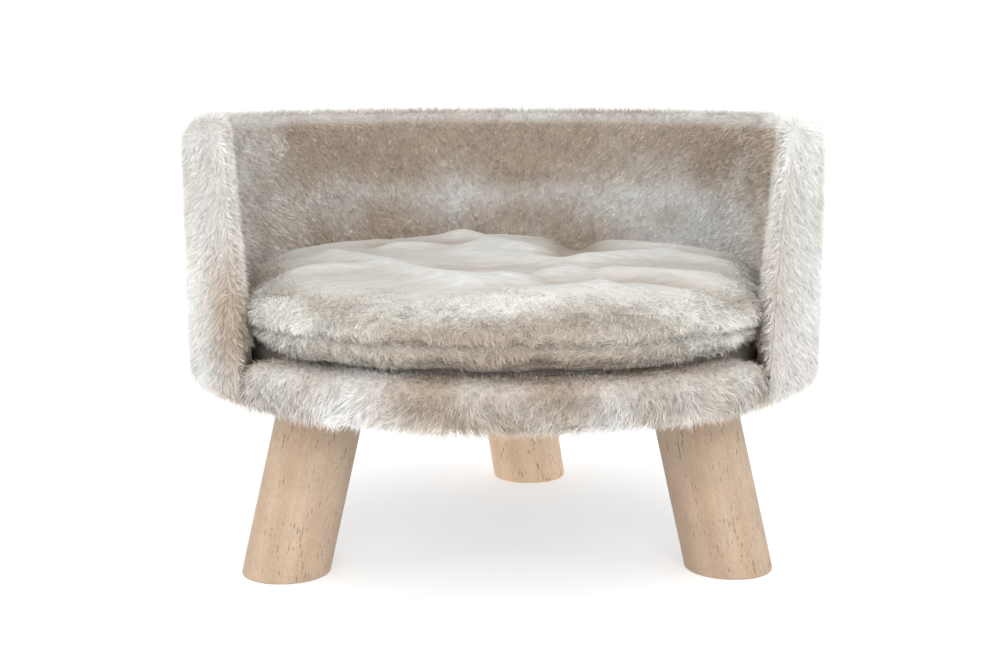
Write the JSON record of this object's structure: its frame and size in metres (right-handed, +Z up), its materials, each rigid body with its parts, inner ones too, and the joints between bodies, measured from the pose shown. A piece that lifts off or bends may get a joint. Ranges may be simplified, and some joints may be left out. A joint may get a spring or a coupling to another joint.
{
  "type": "raised round pet bed",
  "caption": "Raised round pet bed on splayed wooden legs: a C-shaped padded faux-fur wall, a low front edge and a loose round cushion that lifts out.",
  "frame": {"origin": "on the floor under the centre of the round tub", "axes": "+Z up, -Y towards the open front, +X to the right when facing it"},
  "size_m": [0.458, 0.458, 0.313],
  "materials": {
    "fur": "mottled long-pile faux fur",
    "plush": "short-pile plush",
    "foam": "open-cell foam",
    "filling": "polyester fibre",
    "lining": "non-woven",
    "zip_tape": "woven",
    "plywood": "raw",
    "bent_board": "raw",
    "leg_wood": "sanded, clear matt",
    "steel_wire": "galvanised",
    "zinc_steel": "zinc plated",
    "zip_plastic": "satin",
    "zip_metal": "nickel plated"
  },
  "bodies": {
    "tub": {"seat_board": "plywood", "wall_shell": "bent_board", "wall_foam": "foam", "seat_foam": "foam", "front_band_foam": "foam", "wall_outer_cover": "fur", "wall_inner_cover": "fur", "front_band_cover": "fur", "seat_cover": "fur", "base_lining": "lining", "lining_staples": "steel_wire", "cover_staples": "steel_wire", "shell_screws": "zinc_steel", "leg_front_left": "leg_wood", "leg_front_right": "leg_wood", "leg_back": "leg_wood", "hanger_bolt_front_left": "zinc_steel", "hanger_bolt_front_right": "zinc_steel", "hanger_bolt_back": "zinc_steel", "tee_nut_front_left": "zinc_steel", "tee_nut_front_right": "zinc_steel", "tee_nut_back": "zinc_steel"},
    "cushion": {"cushion_top_panel": "plush", "cushion_bottom_panel": "plush", "cushion_filling": "filling", "zip_tapes": "zip_tape", "zip_coil": "zip_plastic", "zip_stops": "zip_metal"},
    "zip_slider": {"zip_slider": "zip_metal", "zip_pull": "zip_metal"}
  },
  "joints": [
    {"name": "cushion_lift", "type": "slide", "parent": "tub", "child": "cushion", "axis": [0, 0, 1], "range_m": [0, 0.16]},
    {"name": "zip_run", "type": "slide", "parent": "cushion", "child": "zip_slider", "axis": [-1, 0, 0], "range_m": [0, 0.19]}
  ]
}
